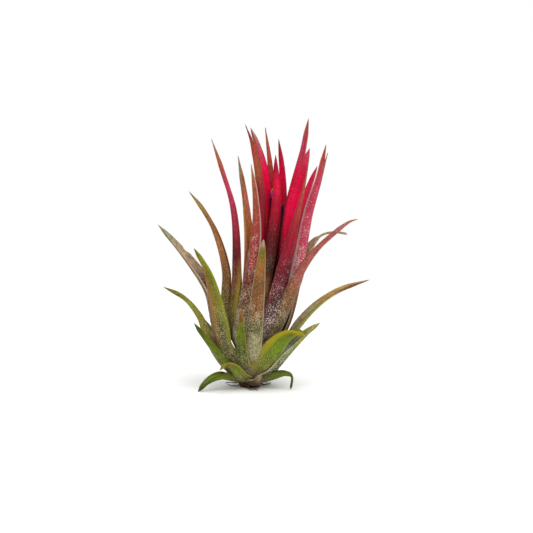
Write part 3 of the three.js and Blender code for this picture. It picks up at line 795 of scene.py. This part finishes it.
def makeLeaves():
    tree = buildLeafTree()
    surface = buildSurfaceTree()
    scaleMaterials = {tone: scaleMaterial(tone) for tone in flake["tones"]}
    carriers = []
    for index, (name, leaf) in enumerate(leaves.items()):
        look = {**blade, **kinds[name.split("_")[0]], **leaf, "seed": rosette["seed"] + index}
        points = midribPoints(look, 1 - index / (len(leaves) - 1))
        length = sum((b - a).length for a, b in zip(points, points[1:]))
        carrier = newObject(name + "_midrib", midribCurve(name, points))
        # The leaves that end in a thread or a hook are those with a shorter body
        thread = blade["dryThread"] if "body" in leaf else blade["threadWidth"]
        dress(carrier, tree, {
            **look,
            "width": look["width"] * mm,
            "thickness": look["thickness"] * mm,
            "threadWidth": thread * mm,
            "waviness": look["waviness"] * mm,
            "stations": max(blade["fewestStations"], round(length / (blade["stationSpacing"] * mm))),
            "scaleSize": flake["size"] * mm,
            "scalesPerSquare": flake["perSquare"] * look["scurf"] / mm ** 2,
            "scaleFade": look["fade"] * flake["fade"],
            "bladeMaterial": leafMaterial(name, look, surface),
            "scaleMaterial": scaleMaterials[look["scales"]],
        })
        carriers.append((name, look["slot"], carrier))
    for name, slot, carrier in carriers:
        piece = bake(carrier, name + "_fine")
        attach(piece, "root")
        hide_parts(name)
    print(len(carriers), "leaves made")


# Stub, roots and flowers

stub = {
    "footRadius": 2.1,
    "waistRadius": 2.9,
    "waistHeight": 2,
    "topRadius": 1,
    "topHeight": 8,
    "scarSpacing": 0.7,
    "scarLead": 2,
    "scarDepth": 0.16,
    "roughness": 0.3,
    "fibresAcross": 3,
    "fibresAlong": 0.9,
    "fibreStretch": (1.0, 1.0, 0.35),
    "rings": 48,
    "sides": 56,
}

# Wiry dead roots, each from a bearing and height on the stub to where it ends on the surface
roots = [
    {"turn": -100, "start": 0.6, "bend": 25, "reach": 5.6, "radius": 0.17},
    {"turn": -52, "start": 0.9, "bend": -30, "reach": 4.4, "radius": 0.13},
    {"turn": 8, "start": 0.7, "bend": 35, "reach": 5.2, "radius": 0.16},
    {"turn": 68, "start": 0.8, "bend": -25, "reach": 4.8, "radius": 0.14},
    {"turn": 122, "start": 0.6, "bend": 30, "reach": 5.4, "radius": 0.17},
    {"turn": 196, "start": 0.9, "bend": -35, "reach": 4.6, "radius": 0.13},
]
rootShape = {"steps": 14, "sides": 8, "inside": 1.4, "drop": 2.2, "ripple": 0.12, "ripples": 9, "tip": 0.45}

# The solid model's two flowers: three petals wrapped into a tube, open with anthers or still shut
# Down the tube the petals darken into wine and indigo, painted shade for the inside of the rosette.
flowers = [
    {"name": "flower_1", "base": (1, 0.6, 9), "top": (0.5, 0.8, 37.4), "radius": 0.65, "open": True,
     "petals": "0.4 wine, 0.62 indigo, 0.8 violet, 1 lilac"},
    # The bud's plum and indigo are partly its own dark colour and partly painted shade for the gap it sits
    # in.
    {"name": "flower_2", "base": (1, 1.4, 9), "top": (2.6, 0.9, 34.8), "radius": 0.65, "open": False,
     "petals": "0.4 plum, 0.7 indigo"},
]

# A bud closes over the last twelfth of its length, and an open flower's lobes part over the last tenth.
# The lining's rings go back down the mouth: each one's share of the lip's radius, and its drop.
bloom = {
    "waist": 0.7,
    "overlap": 0.16,
    "spiral": 0.8,
    "budEnd": 12,
    "lobeEnd": 10,
    "lobeDepth": 0.9,
    "lining": [(0.8, 0.1), (0.56, 0.7), (0.34, 1.2)],
    # tinted: the millimetres below the top over which the petals pass from painted shade to their own colour
    "tinted": 5,
    "sides": 36,
    "rings": 60,
}
anther = {
    "count": 3,
    "turn": 0.3,
    "lean": 0.18,
    "size": 0.15,
    "halfLength": 0.25,
    "rings": 7,
    "sides": 8,
    "stalkEnds": (-1.2, -0.1),
    "stalkRadius": 0.05,
    "stalkSides": 6,
}


def loft(rings):
    # A closed skin over rings of points that run anticlockwise, with a point closing each end
    sides = len(rings[0])
    middles = [sum(ring, Vector()) / sides for ring in (rings[0], rings[-1])]
    points = [middles[0], *[point for ring in rings for point in ring], middles[1]]
    last = len(points) - 1
    faces = []
    for i in range(sides):
        j = (i + 1) % sides
        faces.append((0, 1 + j, 1 + i))
        faces.append((last, last - sides + i, last - sides + j))
        for row in range(len(rings) - 1):
            below = 1 + row * sides
            faces.append((below + i, below + j, below + sides + j, below + sides + i))
    return points, faces


def tube(path, radii, sides):
    # Rings square to a path of points
    rings = []
    for i, (point, radius) in enumerate(zip(path, radii)):
        along = (path[min(i + 1, len(path) - 1)] - path[max(i - 1, 0)]).normalized()
        side = along.orthogonal().normalized() if i == 0 else (side - along * side.dot(along)).normalized()
        lift = along.cross(side)
        rings.append([point + (side * math.cos(2 * math.pi * k / sides)
                               + lift * math.sin(2 * math.pi * k / sides)) * radius for k in range(sides)])
    return loft(rings)


def makePiece(name, replaced, skins):
    # skins: (points in millimetres, faces, material)
    points, faces, marks = [], [], []
    for index, (skinPoints, skinFaces, _) in enumerate(skins):
        base = len(points)
        points += [point * mm for point in skinPoints]
        faces += [[base + corner for corner in face] for face in skinFaces]
        marks += [index] * len(skinFaces)
    mesh = bpy.data.meshes.new(name)
    mesh.from_pydata(points, [], faces)
    for *_, material in skins:
        mesh.materials.append(material)
    mesh.polygons.foreach_set("material_index", marks)
    mesh.polygons.foreach_set("use_smooth", [True] * len(faces))
    piece = newObject(name, mesh)
    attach(piece, "root")
    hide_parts(replaced)


def woodMaterial(name, stops, grain):
    material, wires, principled = newMaterial(name)
    where = wires.add("ShaderNodeTexCoord").outputs["Object"]
    drawn = wires.vectors("MULTIPLY", where, stub["fibreStretch"])
    fibres = wires.add("ShaderNodeTexNoise", inputs={
        "Vector": drawn, "Scale": grain, "Detail": 5.0, "Roughness": 0.7}).outputs["Fac"]
    bump = wires.add("ShaderNodeBump", inputs={"Height": fibres, "Distance": 0.0002})
    wires.fill(principled, {
        "Base Color": wires.ramp(stops, fibres),
        "Normal": bump.outputs[0], "Roughness": 0.85, "Specular IOR Level": 0.15})
    return material


def petalMaterial(name, stops, top=0):
    # The stops run up the last millimetres below the flower's top, from painted shade below to the petals'
    # own colour. One stop alone is a plain colour.
    material, wires, principled = newMaterial(name)
    height = wires.split(wires.add("ShaderNodeTexCoord").outputs["Object"])["Z"]
    rise = wires.mapped(height, (top - bloom["tinted"]) * mm, top * mm)
    wires.fill(principled, {
        "Base Color": wires.ramp(stops, rise), "Roughness": 0.5, "Specular IOR Level": 0.25})
    return material


def stubRadius(height):
    if height < stub["waistHeight"]:
        return lerp(stub["footRadius"], stub["waistRadius"], height / stub["waistHeight"])
    climb = (height - stub["waistHeight"]) / (stub["topHeight"] - stub["waistHeight"])
    return lerp(stub["waistRadius"], stub["topRadius"], climb)


def stubRings():
    # Leaf scars climb in a spiral, and the bark between them is fibrous
    rings = []
    for row in range(stub["rings"]):
        height = stub["topHeight"] * row / (stub["rings"] - 1)
        ring = []
        for k in range(stub["sides"]):
            angle = 2 * math.pi * k / stub["sides"]
            outward = Vector((math.cos(angle), math.sin(angle), 0))
            scar = abs(math.sin(math.pi * height / stub["scarSpacing"] + stub["scarLead"] * angle))
            bark = noise.noise(Vector((outward.x * stub["fibresAcross"], outward.y * stub["fibresAcross"],
                                       height * stub["fibresAlong"])))
            inset = stub["scarDepth"] * scar + stub["roughness"] * (0.5 + 0.5 * bark)
            ring.append(outward * (stubRadius(height) - inset) + Vector((0, 0, height)))
        rings.append(ring)
    return rings


def rootTube(root):
    # The root starts inside the stub, drops to the surface, and runs along it in low ripples
    path, radii = [], []
    for k in range(rootShape["steps"] + 1):
        share = k / rootShape["steps"]
        bearing = math.radians(root["turn"] + root["bend"] * share ** 2)
        reach = lerp(rootShape["inside"], root["reach"], share)
        sag = max(0.0, 1 - share * rootShape["drop"]) ** 2
        height = root["radius"] + (root["start"] - root["radius"]) * sag
        height += rootShape["ripple"] * abs(math.sin(rootShape["ripples"] * share))
        path.append(Vector((reach * math.cos(bearing), reach * math.sin(bearing), height)))
        radii.append(root["radius"] * lerp(1, rootShape["tip"], share))
    return tube(path, radii, rootShape["sides"])


def makeStub():
    wood = woodMaterial("bark", "0.35 umber, 0.7 bark", 1400.0)
    wire = woodMaterial("dead_root", "0.35 umber, 0.7 hay", 2500.0)
    skins = [(*loft(stubRings()), wood), *[(*rootTube(root), wire) for root in roots]]
    makePiece("stem_stub_fine", "stem_stub", skins)
    print("stub made, with", len(roots), "roots")


def petalRings(flower):
    drift = math.tan(math.radians(rosette["axisLean"]))
    budEnd, lobeEnd = bloom["budEnd"], bloom["lobeEnd"]
    rings = []
    for row in range(bloom["rings"]):
        share = row / (bloom["rings"] - 1)
        centre = Vector([lerp(low, high, share) for low, high in zip(flower["base"], flower["top"])])
        radius = flower["radius"] * lerp(bloom["waist"], 1, math.sin(math.pi * share))
        parting = max(0.0, share * lobeEnd - (lobeEnd - 1))
        if not flower["open"]:
            parting = 0.0
            radius *= math.sqrt(max(0.01, 1 - max(0.0, share * budEnd - (budEnd - 1)) ** 2))
        ring = []
        for k in range(bloom["sides"]):
            turn = k / bloom["sides"]
            lap = (3 * turn + bloom["spiral"] * share) % 1
            spread = radius * (1 - bloom["overlap"] * lap)
            height = centre.z - bloom["lobeDepth"] * abs(2 * lap - 1) * parting
            ring.append(Vector((centre.x + drift * height + spread * math.cos(2 * math.pi * turn),
                                centre.y + spread * math.sin(2 * math.pi * turn), height)))
        rings.append(ring)
    if flower["open"]:
        lip = rings[-1]
        middle = sum(lip, Vector()) / bloom["sides"]
        for shrink, drop in bloom["lining"]:
            rings.append([middle + (point - middle) * shrink - Vector((0, 0, drop)) for point in lip])
    return rings


def antherTubes(flower):
    # A stalk and a swollen knob for each anther, standing in the flower's mouth
    drift = math.tan(math.radians(rosette["axisLean"])) * flower["top"][2]
    mouth = Vector(flower["top"]) + Vector((drift, 0, 0))
    half, rings = anther["halfLength"], anther["rings"]
    for k in range(anther["count"]):
        angle = 2 * math.pi * (k + anther["turn"]) / anther["count"]
        lean = Vector((math.cos(angle), math.sin(angle), 0)) * anther["lean"]
        stalk = [mouth + lean * share + Vector((0, 0, lerp(*anther["stalkEnds"], share)))
                 for share in (0, 0.5, 1)]
        knob = [mouth + lean + Vector((0, 0, lerp(-half, half, i / (rings - 1)))) for i in range(rings)]
        swell = [anther["size"] * math.sin(math.pi * (i + 0.5) / rings) for i in range(rings)]
        yield (tube(stalk, [anther["stalkRadius"]] * len(stalk), anther["stalkSides"]),
               tube(knob, swell, anther["sides"]))


def makeFlowers():
    thread = petalMaterial("filament", "0 cream")
    pollen = petalMaterial("anther", "0 pollen")
    for flower in flowers:
        petals = petalMaterial(flower["name"] + "_petals", flower["petals"], flower["top"][2])
        skins = [(*loft(petalRings(flower)), petals)]
        if flower["open"]:
            for stalk, knob in antherTubes(flower):
                skins += [(*stalk, thread), (*knob, pollen)]
        makePiece(flower["name"] + "_fine", flower["name"], skins)
    print(len(flowers), "flowers made")


# Floor, light and camera, in metres, watts and degrees, with the camera's sensor in millimetres

studio = {
    "floorRadius": 0.2,
    "floorSides": 96,
    "floorFade": (0.03, 0.18),
    "horizonHeight": -0.1,
    "horizonLight": 0.5,
    "zenithLight": 1.15,
    "keyPower": 1.5,
    "keySize": 0.4,
    "keyPlace": (0.14, -0.2, 0.55),
    "cameraDistance": 0.3,
    "cameraElevation": 6,
    "sensorWidth": 36,
    "nearest": 0.01,
    "target": (0.003113, 0, 0.022925),
    "frameWidth": 0.10057,
}


def makeWorld():
    # White to the camera. As a light it is brightest overhead and dims towards the horizon.
    world = bpy.data.worlds.new("softStudio")
    world.use_nodes = True
    wires = wiring(world.node_tree)
    upwards = wires.split(wires.add("ShaderNodeTexCoord").outputs["Generated"])["Z"]
    sky = wires.mapped(upwards, studio["horizonHeight"], 1.0, studio["horizonLight"], studio["zenithLight"])
    seen = wires.add("ShaderNodeLightPath").outputs["Is Camera Ray"]
    wires.fill(world.node_tree.nodes["Background"], {
        "Color": colour("white"), "Strength": wires.mapped(seen, 0.0, 1.0, sky, 1.0)})
    bpy.context.scene.world = world


def makeFloor():
    # A round white floor that fades into the white of the studio away from the plant
    mesh = bpy.data.meshes.new("floor")
    angles = [2 * math.pi * i / studio["floorSides"] for i in range(studio["floorSides"])]
    rim = [(studio["floorRadius"] * math.cos(angle), studio["floorRadius"] * math.sin(angle), 0)
           for angle in angles]
    mesh.from_pydata(rim, [], [range(len(rim))])
    floor = newObject("floor", mesh)
    material, wires, principled = newMaterial("pale_floor")
    away = wires.add("ShaderNodeVectorMath", {"operation": "LENGTH"},
                     {0: wires.add("ShaderNodeTexCoord").outputs["Object"]}).outputs["Value"]
    wires.fill(principled, {
        "Alpha": wires.mapped(away, *studio["floorFade"], 1.0, 0.0, smooth=True),
        "Base Color": colour("white"), "Roughness": 0.9, "Specular IOR Level": 0.0})
    mesh.materials.append(material)


def makeStudio():
    scene = bpy.context.scene
    scene.view_settings.view_transform = "Standard"
    makeWorld()
    makeFloor()
    target = Vector(studio["target"])
    lamp = bpy.data.lights.new("key", "AREA")
    lamp.energy = studio["keyPower"]
    lamp.size = studio["keySize"]
    key = newObject("key", lamp)
    key.location = studio["keyPlace"]
    key.rotation_euler = (target - key.location).to_track_quat("-Z", "Y").to_euler()
    tilt = math.radians(studio["cameraElevation"])
    camera = newObject("camera", bpy.data.cameras.new("camera"))
    camera.location = target + studio["cameraDistance"] * Vector((0, -math.cos(tilt), math.sin(tilt)))
    camera.rotation_euler = (target - camera.location).to_track_quat("-Z", "Y").to_euler()
    camera.data.sensor_width = studio["sensorWidth"]
    camera.data.lens = studio["sensorWidth"] * studio["cameraDistance"] / studio["frameWidth"]
    camera.data.clip_start = studio["nearest"]
    scene.camera = camera
    print("studio ready")


makeStudio()
makeStub()
makeFlowers()
makeLeaves()
